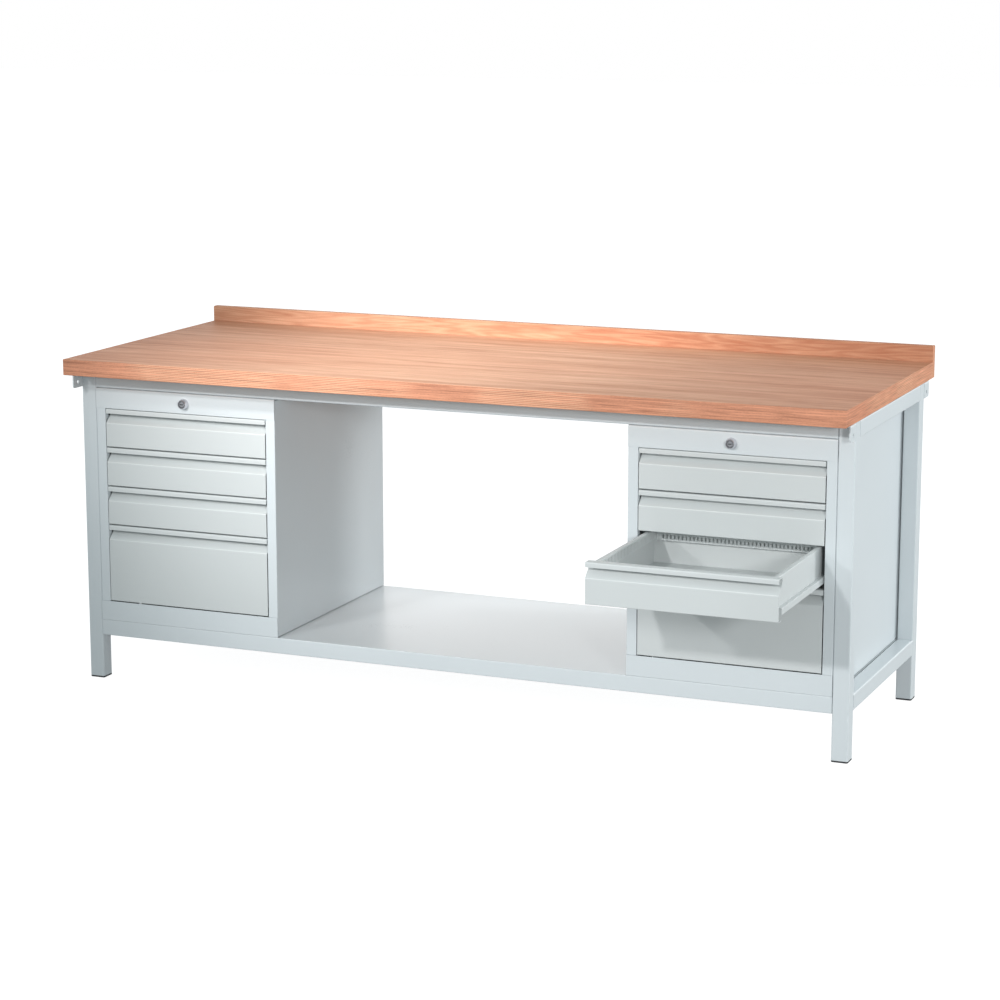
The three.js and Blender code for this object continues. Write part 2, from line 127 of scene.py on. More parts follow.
class BenchSteel(bpy.types.PropertyGroup):
    """Tubes and folded sheets."""

    tube_radius: length("Tube corner", "Outer corner radius of the square tubes", 4.0)
    tube_wall: length("Tube wall", "Wall of the square tubes", 2.0)
    ear_plate: length("Ear plate", "Thickness of the fixing ears", 3.0)
    ear_hole: length("Ear hole", "Diameter of the hole in each ear", 9.0)
    ear_hole_drop: length("Ear hole drop", "Centre of the hole below the ear's top", 25.0)
    ear_corner: length("Ear corner", "Radius of the ear's free corner", 7.0)
    panel_sheet: length("Panel sheet", "Sheet of the shelf and pedestals", 1.5)
    panel_fold: length("Panel fold", "Outer radius of the folds in the panels", 2.4)
    shelf_return: length("Shelf return", "Flange folded back under the shelf's bands", 20.0)
    stile: length("Stile", "Face of the pedestal beside the drawers", 25.0)
    stile_return: length("Stile return", "Flange of the stile beside the drawers", 15.0)
    back_flange: length("Back flange", "Flange at the back of a pedestal's side", 15.0)
    side_jog: length("Side jog", "Where an inset side steps in behind its stile", 10.0)
    side_inset: length("Side inset", "How far a side beside the legs steps in", 3.0)
    cap_plug_gap: length("Cap plug gap", "Foot cap's plug inside the leg's outer face", 2.6)
    cap_ease: length("Cap ease", "Rounding of a foot cap's edges", 0.8)
    cap_plug_ease: length("Cap plug ease", "Rounding of the plug's edges", 1.5)
    back_ease: length("Back ease", "Rounding of a pedestal's back sheet", 0.4)
    frame_paint: colour("Frame paint", "Powder coat of frame, shelf and pedestals",
                        paint(214, 220, 223))
    foot_plastic: colour("Foot plastic", "Plastic of the foot caps", paint(44, 46, 49))


class BenchDrawers(bpy.types.PropertyGroup):
    """Drawer fronts, trays and slides."""

    sheet: length("Drawer sheet", "Sheet of the fronts and trays", 1.2)
    front_fold: length("Front fold", "Outer radius of the folds in a front", 2.2)
    front_flange: length("Front flange", "Flange folded back under a front", 20.0)
    lip_height: length("Lip", "Height of the lip over the finger recess", 12.0)
    fold_drop: length("Fold drop", "From the lip's top to the fold in the face", 36.5)
    slope_drop: length("Slope drop", "From the lip's top to the top of the sloping face", 13.0)
    slide_width: length("Slide width", "How far a slide stands out from the tray", 9.8)
    slide_sheet: length("Slide sheet", "Sheet of the slides", 1.5)
    slide_low: length("Slide low", "Slide's lower face above the tray's underside", 2.0)
    slide_high: length("Slide high", "Slide's upper face above the tray's underside", 18.0)
    rim: length("Rim", "Width of the rim folded inwards", 12.0)
    rim_flange: length("Rim flange", "How far the rim is turned down inside", 28.0)
    slot_pitch: length("Slot pitch", "Between two divider slots", 9.5)
    slot_width: length("Slot width", "Width of a divider slot", 3.6)
    slot_margin: length("Slot margin", "From the slots to the flange's fold and edge", 4.5)
    back_slot_height: length("Back slot height", "Height of the slots in the back", 9.0)
    back_slot_low: length("Back slot low", "Slots in the back above the flange's edge", 5.0)
    slide_fold: length("Slide fold", "Outer radius of the folds in a slide", 1.8)
    catch_sheet: length("Catch sheet", "Thickness of the catch", 2.0)
    catch_ease: length("Catch ease", "Rounding of the catch's edges", 0.3)
    catch_lift: length("Catch lift", "Catch for the lock bar above the tray's underside", 39.0)
    catch_height: length("Catch height", "Height of the catch", 8.0)
    catch_reach: length("Catch reach", "How far the catch stands out from the tray", 6.0)
    catch_setback: length("Catch setback", "Catch behind the tray's front", 7.5)
    front_paint: colour("Front paint", "Powder coat of the drawers", paint(206, 210, 210))


class BenchLocks(bpy.types.PropertyGroup):
    """Locks and galvanised parts."""

    collar_foot: length("Collar foot", "Straight part of the collar at the band", 5.0)
    collar_face: length("Collar face", "Diameter of the collar's front", 22.0)
    collar_rim: length("Collar rim", "Outer ring of the collar's front", 2.2)
    inner_rim: length("Inner rim", "Ring around the plug", 0.9)
    groove_depth: length("Groove depth", "Depth of the groove between the rings", 1.6)
    collar_ease: length("Collar ease", "Rounding of the collar's edges", 0.8)
    collar_gap: length("Collar gap", "Gap between the collar and the band", 0.3)
    barrel: length("Barrel", "Diameter of the barrel behind the collar", 19.0)
    bore: length("Bore", "Diameter of the hole that the plug turns in", 13.8)
    plug: length("Plug", "Diameter of the plug", 13.0)
    slot_length: length("Key slot length", "Length of the key slot", 9.0)
    slot_width: length("Key slot width", "Width of the key slot", 2.0)
    slot_depth: length("Key slot depth", "Depth of the key slot", 7.0)
    plug_ease: length("Plug ease", "Height of the plug's eased front edge", 0.5)
    cam: length("Cam", "Thickness of the cam", 3.0)
    cam_back: length("Cam back", "Cam's end beyond the plug's centre", 6.0)
    cam_corner: length("Cam corner", "Radius of the cam's corners", 5.0)
    chrome: colour("Chrome", "Plating of the locks", paint(222, 221, 226))
    # painted shade: this dark colour stands in for the shade in the lock's groove and key slot
    recess: colour("Recess", "Dark hollows of the locks", paint(52, 54, 60))
    zinc: colour("Zinc", "Galvanised runners, slides and lock bars", paint(196, 201, 205))


class BenchStudio(bpy.types.PropertyGroup):
    """Camera, lights and floor."""

    camera_place: spot("Camera place", "Where the camera stands", (2.5944, -6.0581, 1.8330))
    camera_turn: FloatVectorProperty(
        name="Camera turn", description="Tilt, roll and heading of the camera", size=3,
        subtype='EULER', default=(math.radians(78.598), 0.0, math.radians(22.699)))
    lens: FloatProperty(
        name="Lens", description="Focal length on a 36 mm sensor, in millimetres", default=98.79)
    key_place: spot("Key place", "Where the main light hangs", (-2.55, -4.80, 2.65))
    key_aim: spot("Key aim", "Where the key and second lights point", (0.25, 0.145, 0.62))
    key_power: power("Key power", "Power of the main light", 230.0)
    core_place: spot("Core place", "Where the light on the left pedestal hangs",
                     (-1.90, -4.60, 3.30))
    core_aim: spot("Core aim", "Where the light on the left pedestal points", (-0.46, 0.10, 0.68))
    core_power: power("Core power", "Power of the light on the left pedestal", 330.0)
    second_place: spot("Second place", "Where the second light from the front hangs",
                       (-0.33, -4.80, 2.65))
    second_power: power("Second power", "Power of the second light", 290.0)
    front_place: spot("Front place", "Where the light from the front right stands",
                      (3.5, -4.05, 1.7))
    front_aim: spot("Front aim", "Where the light from the front right points", (0.5, 0.0, 0.4))
    front_power: power("Front power", "Power of the light from the front right", 275.0)
    board_place: spot("Board place", "Where the worktop's light hangs", (-0.7, -3.4, 3.6))
    board_aim: spot("Board aim", "Where the worktop's light points", (-0.15, 0.25, 0.86))
    board_power: power("Board power", "Power of the light on the worktop's middle", 480.0)
    side_place: spot("Side place", "Where the light on the right end hangs", (4.6, 1.35, 1.4))
    side_aim: spot("Side aim", "Where the light on the right end points", (0.95, -0.1, 0.45))
    side_size: FloatProperty(
        name="Side size", description="Diameter of the light on the right end", default=0.9,
        unit='LENGTH')
    side_power: power("Side power", "Power of the light on the right end", 69.0)
    fill: FloatProperty(name="Fill", description="Strength of the surrounding light", default=0.53)
    sheen: FloatProperty(
        name="Reflected white", description="Brightness of the surroundings in the gloss of the paint",
        default=1.6)
    bounce: FloatProperty(
        name="Bounce", description="Light that the floor throws up at the bench", default=0.20)
    fill_colour: colour("Fill colour", "Tint of the surrounding light", (0.85, 0.975, 1.0))


GROUPS = (
    ("bench_boards", BenchBoards),
    ("bench_steel", BenchSteel),
    ("bench_drawers", BenchDrawers),
    ("bench_locks", BenchLocks),
    ("bench_studio", BenchStudio),
)


# ---- Shader maths --------------------------------------------------------------------------------

class Field:
    """A value, colour or vector that varies over a surface, from one output of a node."""

    def __init__(self, finish, socket):
        self.finish = finish
        self.socket = socket

    def maths(self, operation, first, second=0.0):
        """A Math node of two values."""
        return self.finish.node("ShaderNodeMath", {"operation": operation},
                                {0: first, 1: second})

    def __add__(self, other):
        return self.maths('ADD', self, other)

    def __sub__(self, other):
        return self.maths('SUBTRACT', self, other)

    def __rsub__(self, other):
        return self.maths('SUBTRACT', other, self)

    def __mul__(self, other):
        return self.maths('MULTIPLY', self, other)

    def __truediv__(self, other):
        return self.maths('DIVIDE', self, other)

    def __gt__(self, other):
        return self.maths('GREATER_THAN', self, other)

    def __mod__(self, other):
        return self.maths('FLOORED_MODULO', self, other)

    def __abs__(self):
        return self.maths('ABSOLUTE', self)

    __radd__ = __add__
    __rmul__ = __mul__

    def limited(self, low, high):
        """This value as a share of the way from low to high, held between 0 and 1."""
        return self.finish.node("ShaderNodeMapRange", {"clamp": True},
                                {"Value": self, "From Min": low, "From Max": high})


class Finish:
    """A material's nodes around one Principled surface."""

    def __init__(self, name, **constants):
        self.material = bpy.data.materials.new(name)
        self.material.use_nodes = True
        self.tree = self.material.node_tree
        self.surface = self.tree.nodes["Principled BSDF"]
        for socket, value in constants.items():
            self.surface.inputs[socket.replace("_", " ")].default_value = value
        self.place = self.node("ShaderNodeTexCoord", {}, {}, "Object")

    def node(self, kind, settings, values, output=0):
        """Any node: its settings first, then the values or links of its sockets."""
        made = self.tree.nodes.new(kind)
        for name, value in settings.items():
            setattr(made, name, value)
        for key, value in values.items():
            if isinstance(value, Field):
                self.tree.links.new(value.socket, made.inputs[key])
            else:
                made.inputs[key].default_value = value
        return Field(self, made.outputs[output])

    def vary(self, socket, field):
        """Let a field drive one of the surface's sockets."""
        self.tree.links.new(field.socket, self.surface.inputs[socket])

    def stretched(self, scale, shift=(0.0, 0.0, 0.0)):
        """Object coordinates, scaled and shifted."""
        return self.node("ShaderNodeMapping", {"vector_type": 'POINT'},
                         {"Vector": self.place, "Location": shift, "Scale": scale})

    def noise(self, place, scale, detail=3.0, roughness=0.5):
        """Cloudy noise between 0 and 1."""
        return self.node("ShaderNodeTexNoise", {}, {
            "Vector": place, "Scale": scale, "Detail": detail, "Roughness": roughness})

    def mix(self, share, first, second, blend='MIX'):
        """A colour between two colours."""
        shades = [value if isinstance(value, Field) else (*value, 1.0)
                  for value in (first, second)]
        return self.node("ShaderNodeMix", {"data_type": 'RGBA', "blend_type": blend},
                         {0: share, 6: shades[0], 7: shades[1]}, 2)

    def axis(self, letter):
        """One object coordinate, in metres."""
        return self.node("ShaderNodeSeparateXYZ", {}, {"Vector": self.place}, letter)

    def relief(self, height, depth):
        """Fine relief, with its depth in metres."""
        bump = self.node("ShaderNodeBump", {}, {"Height": height, "Distance": depth}, "Normal")
        self.vary("Normal", bump)


def darker(shade, share):
    """A colour multiplied by a share."""
    return tuple(channel * share for channel in shade)


def veneer(name, light, dark, figure, both_ends):
    """Beech veneer with its grain along X: flame figure, soft streaks, fibres and short flecks,
    and painted shade that makes it darker and redder towards its right end or both."""
    finish = Finish(name, Specular_IOR_Level=0.04)
    bend = finish.noise(finish.stretched((1.3, 5.0, 5.0)), 1.0, 2.0)
    warped = finish.node("ShaderNodeVectorMath", {"operation": 'MULTIPLY_ADD'}, {
        0: finish.node("ShaderNodeCombineXYZ", {}, {"Y": bend, "Z": bend}),
        1: (0.0, 0.05, 0.05), 2: finish.place})

    def grain(scale, detail):
        long = finish.node("ShaderNodeMapping", {"vector_type": 'POINT'},
                           {"Vector": warped, "Scale": scale})
        return finish.noise(long, 1.0, detail, 0.62)

    hills = grain((1.2, 16.0, 16.0), 3.0)
    rings = abs((hills * 14.0) % 1.0 - 0.5).limited(0.06, 0.5)
    bands = grain((1.6, 30.0, 30.0), 5.0).limited(0.36, 0.64)
    streaks = grain((5.0, 95.0, 95.0), 4.0).limited(0.30, 0.70)
    fibres = grain((40.0, 700.0, 700.0), 2.0).limited(0.25, 0.75)
    plain = bands * 0.40 + streaks * 0.38 + fibres * 0.22
    shade = finish.mix(plain * (1.0 - figure) + rings * figure, dark, light)
    rosy = finish.noise(finish.stretched((0.8, 3.0, 3.0), shift=(4.0, 1.0, 2.0)), 1.0, 2.0)
    shade = finish.mix(rosy.limited(0.42, 0.68) * 0.35, shade, (1.0, 0.84, 0.76), 'MULTIPLY')
    # painted shade: the veneer is multiplied darker and redder towards the board's right end, or both
    # ends
    run = finish.axis("X")
    painted_end_shade = (abs(run) if both_ends else run).limited(0.25, 1.1)
    shade = finish.mix(painted_end_shade, shade, (0.74, 0.64, 0.60), 'MULTIPLY')
    fleck_place = finish.stretched((150.0, 1150.0, 1150.0))
    fleck = finish.node("ShaderNodeTexVoronoi", {"feature": 'F1'},
                        {"Vector": fleck_place, "Scale": 1.0, "Randomness": 1.0}, "Distance")
    fleck_mask = 1.0 - fleck.limited(0.10, 0.22)
    shade = finish.mix(fleck_mask * 0.5, shade, darker(dark, 0.6))
    finish.vary("Base Color", shade)
    finish.vary("Roughness", 0.46 + fibres * 0.10 - bands * 0.05)
    finish.relief(fibres * 0.6 + streaks * 0.4 - fleck_mask * 0.5, 0.00010)
    return finish.material


def ply_edge(name, boards, across):
    """Plies at a board's edge, stacked along one axis: pale broken seams, fibres and end grain."""
    finish = Finish(name, Specular_IOR_Level=0.04)
    drift = finish.noise(finish.stretched((3.0, 3.0, 3.0)), 1.0)
    depth = finish.axis(across) + drift * 0.0016
    step = (depth % boards.ply) / boards.ply
    turn = (depth % (2 * boards.ply)) / boards.ply > 1.0
    squash = {"Y": (9.0, 330.0, 9.0), "Z": (9.0, 9.0, 330.0)}[across]
    fibres = finish.noise(finish.stretched(squash), 1.0, 4.0, 0.6).limited(0.36, 0.64)
    pores = finish.noise(finish.stretched((260.0, 260.0, 700.0)), 1.0, 2.0).limited(0.3, 0.7)
    long_ply = finish.mix(fibres, darker(boards.edge_wood, 0.56), darker(boards.edge_wood, 1.12))
    cross_ply = finish.mix(pores * 0.6 + fibres * 0.4, darker(boards.edge_wood, 0.66),
                           darker(boards.edge_wood, 1.04))
    shade = finish.mix(turn, long_ply, cross_ply)
    seam = abs(step - 0.5).limited(0.34, 0.42) * drift.limited(0.42, 0.52)
    shade = finish.mix(seam * 0.75, shade, boards.seam_wood)
    glue = abs(step - 0.40).limited(0.0, 0.06)
    shade = finish.mix((1.0 - glue) * 0.35, shade, boards.glue_line)
    finish.vary("Base Color", shade)
    finish.vary("Roughness", 0.52 + turn * 0.12 + pores * 0.08)
    finish.relief(fibres * 0.5 + pores * turn - (1.0 - glue) * 0.8, 0.00014)
    return finish.material


def powder_coat(name, shade, gloss):
    """Powder coat: fine orange peel, faint unevenness and a little handling grime."""
    finish = Finish(name, Specular_IOR_Level=0.5)
    peel = finish.noise(finish.place, 420.0, 2.0, 0.45)
    cloud = finish.noise(finish.place, 3.5, 3.0)
    speck = finish.noise(finish.place, 1500.0, 1.0)
    tint = finish.mix(cloud.limited(0.3, 0.7), darker(shade, 0.975), shade)
    tint = finish.mix(speck.limited(0.62, 0.80) * 0.12, tint, darker(shade, 0.80))
    finish.vary("Base Color", tint)
    finish.vary("Roughness", gloss + cloud * 0.10 + peel * 0.06)
    finish.relief(peel, 0.000015)
    return finish.material


def zinc_plate(shade):
    """Galvanised steel with its crystal pattern."""
    finish = Finish("galvanised_steel", Metallic=1.0)
    crystals = finish.node("ShaderNodeTexVoronoi", {"feature": 'F1'},
                           {"Vector": finish.place, "Scale": 140.0}, "Color")
    tone = finish.node("ShaderNodeSeparateColor", {}, {"Color": crystals}, "Red")
    rub = finish.noise(finish.stretched((40.0, 8.0, 400.0)), 1.0, 3.0)
    finish.vary("Base Color", finish.mix(tone * 0.6 + rub * 0.4, darker(shade, 0.74), shade))
    finish.vary("Roughness", 0.30 + tone * 0.18 + rub * 0.10)
    finish.relief(rub, 0.00003)
    return finish.material


def bright_plate(shade):
    """Chrome plate with hairline scratches."""
    finish = Finish("bright_plate", Metallic=1.0)
    smear = finish.noise(finish.place, 160.0, 3.0)
    hair = finish.noise(finish.stretched((2600.0, 500.0, 300.0)), 1.0, 2.0)
    finish.vary("Base Color", finish.mix(smear, darker(shade, 0.90), shade))
    finish.vary("Roughness", 0.07 + smear * 0.10 + hair.limited(0.60, 0.75) * 0.12)
    finish.relief(hair, 0.00001)
    return finish.material


def moulded_plastic(name, shade):
    """Dark moulded plastic with a fine matt grain and some dust."""
    finish = Finish(name, Specular_IOR_Level=0.4)
    grain = finish.noise(finish.place, 1400.0, 2.0)
    dust = finish.noise(finish.place, 60.0, 4.0)
    finish.vary("Base Color", finish.mix(dust.limited(0.45, 0.8) * 0.4, shade, (0.16, 0.155, 0.15)))
    finish.vary("Roughness", 0.55 + grain * 0.2)
    finish.relief(grain, 0.00008)
    return finish.material


def finishes():
    """Every finish of the bench by name, made once."""
    if not hasattr(finishes, "made"):
        scene = bpy.context.scene
        boards, steel, locks = scene.bench_boards, scene.bench_steel, scene.bench_locks
        wood = boards.light_wood[:], boards.dark_wood[:]
        flame = boards.flame_light[:], boards.flame_dark[:]
        finishes.made = {
            "top": veneer("top_veneer", *wood, figure=0.12, both_ends=True),
            "flame": veneer("backboard_veneer", *flame, figure=0.34, both_ends=False),
            "top_edge": ply_edge("top_plies", boards, "Z"),
            "back_edge": ply_edge("backboard_plies", boards, "Y"),
            "frame": powder_coat("frame_coat", steel.frame_paint[:], 0.22),
            "front": powder_coat("drawer_coat", scene.bench_drawers.front_paint[:], 0.32),
            "zinc": zinc_plate(locks.zinc[:]),
            "chrome": bright_plate(locks.chrome[:]),
            "foot": moulded_plastic("foot_plastic", steel.foot_plastic[:]),
            # dark plastic as painted shade in the lock's groove and key slot
            "recess": moulded_plastic("lock_recess", locks.recess[:]),
        }
    return finishes.made


# ---- Shapes --------------------------------------------------------------------------------------

def block(low, high):
    """A box between two corners."""
    shape = bmesh.new()
    bmesh.ops.create_cube(shape, size=1.0)
    bmesh.ops.scale(shape, vec=Vector(high) - Vector(low), verts=shape.verts)
    bmesh.ops.translate(shape, vec=(Vector(low) + Vector(high)) / 2, verts=shape.verts)
    return shape


def round_off(shape, edges, radius, segments=4):
    """Round a list of edges."""
    bmesh.ops.bevel(shape, geom=edges, offset=radius, segments=segments, profile=0.5,
                    affect='EDGES', material=-1, clamp_overlap=True)


def points_of(items):
    """The vertices in a list of bmesh items."""
    return [item for item in items if isinstance(item, bmesh.types.BMVert)]


def edges_of(items):
    """The edges in a list of bmesh items."""
    return [item for item in items if isinstance(item, bmesh.types.BMEdge)]


def direction(edge):
    """Which axis an edge runs along: 0, 1 or 2."""
    run = edge.verts[1].co - edge.verts[0].co
    return max(range(3), key=lambda i: abs(run[i]))


def folded(line, axis, places):
    """An open strip: a line of points, each with two coordinates across the axis, carried along
    the axis through a list of places."""
    shape = bmesh.new()
    across = [i for i in range(3) if i != axis]

    def point(pair, place):
        spot = [0.0, 0.0, 0.0]
        spot[across[0]], spot[across[1]], spot[axis] = pair[0], pair[1], place
        return spot

    corners = [shape.verts.new(point(pair, places[0])) for pair in line]
    rail = [shape.edges.new(pair) for pair in zip(corners, corners[1:])]
    for here, there in zip(places, places[1:]):
        grown = bmesh.ops.extrude_edge_only(shape, edges=rail)["geom"]
        rail = edges_of(grown)
        step = Vector((0.0, 0.0, 0.0))
        step[axis] = there - here
        bmesh.ops.translate(shape, vec=step, verts=points_of(grown))
    bmesh.ops.recalc_face_normals(shape, faces=shape.faces)
    return shape


def drop_faces(shape, wanted):
    """Cut away the faces whose centre a test picks."""
    gone = [face for face in shape.faces if wanted(face.calc_center_median())]
    bmesh.ops.delete(shape, geom=gone, context='FACES')


def sheet_metal(shape, thickness, radius, outside):
    """Round an open strip's folds, and give it a wall on the side away from a point outside it."""
    folds = [edge for edge in shape.edges
             if len(edge.link_faces) == 2 and edge.calc_face_angle() > 0.2]
    outside = Vector(outside)
    face = min(shape.faces, key=lambda item: (outside - item.calc_center_median()).length)
    if face.normal.dot(outside - face.calc_center_median()) < 0:
        bmesh.ops.reverse_faces(shape, faces=shape.faces)
    round_off(shape, folds, radius, 3)
    bmesh.ops.solidify(shape, geom=shape.faces[:], thickness=thickness)
    bmesh.ops.dissolve_degenerate(shape, edges=shape.edges, dist=1e-6)
    return shape


def joined(*shapes):
    """One bmesh that holds several."""
    whole = bmesh.new()
    for shape in shapes:
        mesh = bpy.data.meshes.new("part")
        shape.to_mesh(mesh)
        shape.free()
        whole.from_mesh(mesh)
        bpy.data.meshes.remove(mesh)
    return whole


def finished(name, shape, body, materials, replaced=()):
    """Make a shape a piece that rides on a body, takes the given finishes and stands for CAD nodes."""
    mesh = bpy.data.meshes.new(name)
    shape.to_mesh(mesh)
    shape.free()
    for material in materials:
        mesh.materials.append(material)
    mesh.shade_smooth()
    mesh.set_sharp_from_angle(angle=math.radians(34))
    piece = bpy.data.objects.new(name, mesh)
    bpy.context.scene.collection.objects.link(piece)
    flat = piece.modifiers.new("flat_faces", 'WEIGHTED_NORMAL')
    flat.keep_sharp = True
    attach(piece, body)
    if replaced:
        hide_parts(*replaced)
    return piece


def pick_material(shape, index, wanted):
    """Give one material to the faces whose normal a test picks."""
    shape.normal_update()
    for face in shape.faces:
        if wanted(face.normal):
            face.material_index = index


# ---- Boards --------------------------------------------------------------------------------------

def countersunk_screw(centre, diameter):
    """A countersunk screw head set flush in a face towards the back, with a cross recess."""
    shape = bmesh.new()
    bmesh.ops.create_circle(shape, cap_ends=True, segments=24, radius=diameter / 2)
    inner = bmesh.ops.inset_region(shape, faces=shape.faces[:], thickness=diameter * 0.24)
    cap = [face for face in shape.faces if face not in inner["faces"]]
    spokes = bmesh.ops.poke(shape, faces=cap)
    bmesh.ops.translate(shape, vec=(0.0, 0.0, -diameter * 0.12), verts=spokes["verts"])
    grown = bmesh.ops.extrude_edge_only(
        shape, edges=[edge for edge in shape.edges if edge.is_boundary])
    bmesh.ops.translate(shape, vec=(0.0, 0.0, -diameter * 0.2), verts=points_of(grown["geom"]))
    bmesh.ops.holes_fill(shape, edges=[edge for edge in shape.edges if edge.is_boundary])
    bmesh.ops.recalc_face_normals(shape, faces=shape.faces)
    turn = Matrix.Rotation(math.radians(-90), 3, 'X')
    bmesh.ops.rotate(shape, cent=(0, 0, 0), matrix=turn, verts=shape.verts)
    bmesh.ops.translate(shape, vec=centre, verts=shape.verts)
    return shape


class BENCH_OT_boards(bpy.types.Operator):
    """Make the plywood worktop, the backboard and the screws behind it"""

    bl_idname = "bench.make_boards"
    bl_label = "Worktop and Backboard"

    def execute(self, context):
        boards = context.scene.bench_boards
        looks = finishes()
        low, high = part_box("worktop")
        top = block(low, high)
        round_off(top, top.edges[:], boards.edge_radius, 3)
        pick_material(top, 1, lambda normal: abs(normal.z) < 0.5)
        finished("worktop_board", top, "bench", [looks["top"], looks["top_edge"]],
                 ["worktop"])
        low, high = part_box("backboard")
        rear = block(low, high)
        round_off(rear, rear.edges[:], boards.edge_radius, 3)
        pick_material(rear, 1, lambda normal: abs(normal.y) < 0.5)
        finished("back_board", rear, "bench", [looks["flame"], looks["back_edge"]],
                 ["backboard"])
        bottom, surface = (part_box("worktop")[i].z for i in (0, 1))
        run = high.x - low.x - 2 * boards.screw_inset
        count = round(run / boards.screw_pitch)
        screws = []
        for i in range(count + 1):
            x = low.x + boards.screw_inset + run * i / count
            centre = (x, high.y, (bottom + surface) / 2)
            screws.append(countersunk_screw(centre, boards.screw_head))
        finished("backboard_screws", joined(*screws), "bench", [looks["zinc"]])
        return {'FINISHED'}


# ---- Frame ---------------------------------------------------------------------------------------

def square_tube(node, axis, steel):
    """A square tube with rounded corners and open ends, where a CAD node lies."""
    shape = block(*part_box(node))
    long = [edge for edge in shape.edges if direction(edge) == axis]
    round_off(shape, long, steel.tube_radius, 5)
    shape.normal_update()
    ends = [face for face in shape.faces if abs(face.normal[axis]) > 0.9]
    bmesh.ops.delete(shape, geom=ends, context='FACES_ONLY')
    bmesh.ops.solidify(shape, geom=shape.faces[:], thickness=steel.tube_wall)
    return shape


def foot_cap(node, steel):
    """A plastic cap under a leg, with its plug inside the tube."""
    low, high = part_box(node)
    inset = Vector((steel.cap_plug_gap, steel.cap_plug_gap, 0.0))
    cap_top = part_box(node.replace("foot_cap", "leg"))[0].z - JOINT_GAP
    cap = block(low, (high.x, high.y, cap_top))
    upright = [edge for edge in cap.edges if direction(edge) == 2]
    round_off(cap, upright, steel.tube_radius, 5)
    level = [edge for edge in cap.edges if direction(edge) != 2]
    round_off(cap, level, steel.cap_ease, 2)
    plug = block(Vector((low.x, low.y, cap_top)) + inset, high - inset)
    round_off(plug, plug.edges[:], steel.cap_plug_ease, 2)
    return joined(cap, plug)


def fixing_ear(node, steel, side, outwards):
    """A folded plate beside a leg's top, with rounded corners and a screw hole."""
    low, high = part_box(node)
    face_x = high.x if side > 0 else low.x
    fold_start = high.z - 2 * steel.ear_plate
    plate = bmesh.new()
    corners = [(low.y, low.z), (high.y, low.z), (high.y, fold_start), (low.y, fold_start)]
    ring = [plate.verts.new((face_x, y, z)) for y, z in corners]
    plate.faces.new(ring)
    free_y = low.y if outwards < 0 else high.y
    free = [vert for vert in ring[:2] if abs(vert.co.y - free_y) < 1e-6]
    bmesh.ops.bevel(plate, geom=free, offset=steel.ear_corner, segments=6, profile=0.5,
                    affect='VERTICES', material=-1)
    bmesh.ops.delete(plate, geom=plate.faces[:], context='FACES_ONLY')
    hole = bmesh.ops.create_circle(plate, cap_ends=False, segments=24, radius=steel.ear_hole / 2)
    bmesh.ops.rotate(plate, cent=(0, 0, 0), matrix=Matrix.Rotation(math.pi / 2, 3, 'Y'),
                     verts=hole["verts"])
    centre = Vector((face_x, (low.y + high.y) / 2, high.z - steel.ear_hole_drop))
    bmesh.ops.translate(plate, vec=centre, verts=hole["verts"])
    bmesh.ops.triangle_fill(plate, use_beauty=True, edges=plate.edges[:])
    bmesh.ops.recalc_face_normals(plate, faces=plate.faces)
    outside = centre + Vector((side, 0, 0))
    plate = sheet_metal(plate, steel.ear_plate, steel.panel_fold, outside)
    line = [(face_x, fold_start), (face_x, high.z), (face_x - side * (high.x - low.x), high.z)]
    flange = sheet_metal(folded(line, 1, [low.y, high.y]), steel.ear_plate,
                         1.5 * steel.ear_plate, (face_x, centre.y, high.z + 1.0))
    return joined(plate, flange)


class BENCH_OT_frame(bpy.types.Operator):
    """Make the legs, rails, foot caps and fixing ears"""

    bl_idname = "bench.make_frame"
    bl_label = "Tube Frame"

    def execute(self, context):
        steel = context.scene.bench_steel
        looks = finishes()
        tubes = {f"top_rail_{end}": 0 for end in ("front", "back")}
        for side_name, side in SIDES.items():
            tubes[f"top_side_rail_{side_name}"] = 1
            tubes[f"lower_side_rail_{side_name}"] = 1
            for end, outwards in (("front", -1), ("back", 1)):
                corner = f"{end}_{side_name}"
                tubes[f"leg_{corner}"] = 2
                finished(f"cap_{corner}", foot_cap(f"foot_cap_{corner}", steel), "bench",
                         [looks["foot"]], [f"foot_cap_{corner}"])
                finished(f"fixing_{corner}", fixing_ear(f"ear_{corner}", steel, side, outwards),
                         "bench", [looks["frame"]], [f"ear_{corner}"])
        for node, axis in tubes.items():
            finished(f"tube_{node}", square_tube(node, axis, steel), "bench",
                     [looks["frame"]], [node])
        return {'FINISHED'}


class BENCH_OT_shelf(bpy.types.Operator):
    """Make the folded shelf with its bands and end plates"""

    bl_idname = "bench.make_shelf"
    bl_label = "Shelf"

    def execute(self, context):
        steel = context.scene.bench_steel
        low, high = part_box("shelf")
        line = [(low.y + steel.shelf_return, low.z), (low.y, low.z), (low.y, high.z),
                (high.y, high.z), (high.y, low.z), (high.y - steel.shelf_return, low.z)]
        above = Vector((0.0, 0.0, high.z + 1.0))
        shelf = sheet_metal(folded(line, 0, [low.x, high.x]), steel.panel_sheet,
                            steel.panel_fold, above)
        inset = steel.panel_sheet
        plates = []
        for x0 in (low.x + inset / 4, high.x - inset * 1.25):
            plate = block((x0, low.y + inset, low.z + inset),
                          (x0 + inset, high.y - inset, high.z - inset))
            plates.append(plate)
        finished("low_shelf", joined(shelf, *plates), "bench",
                 [finishes()["frame"]], ["shelf"])
        return {'FINISHED'}


# ---- Pedestals -----------------------------------------------------------------------------------

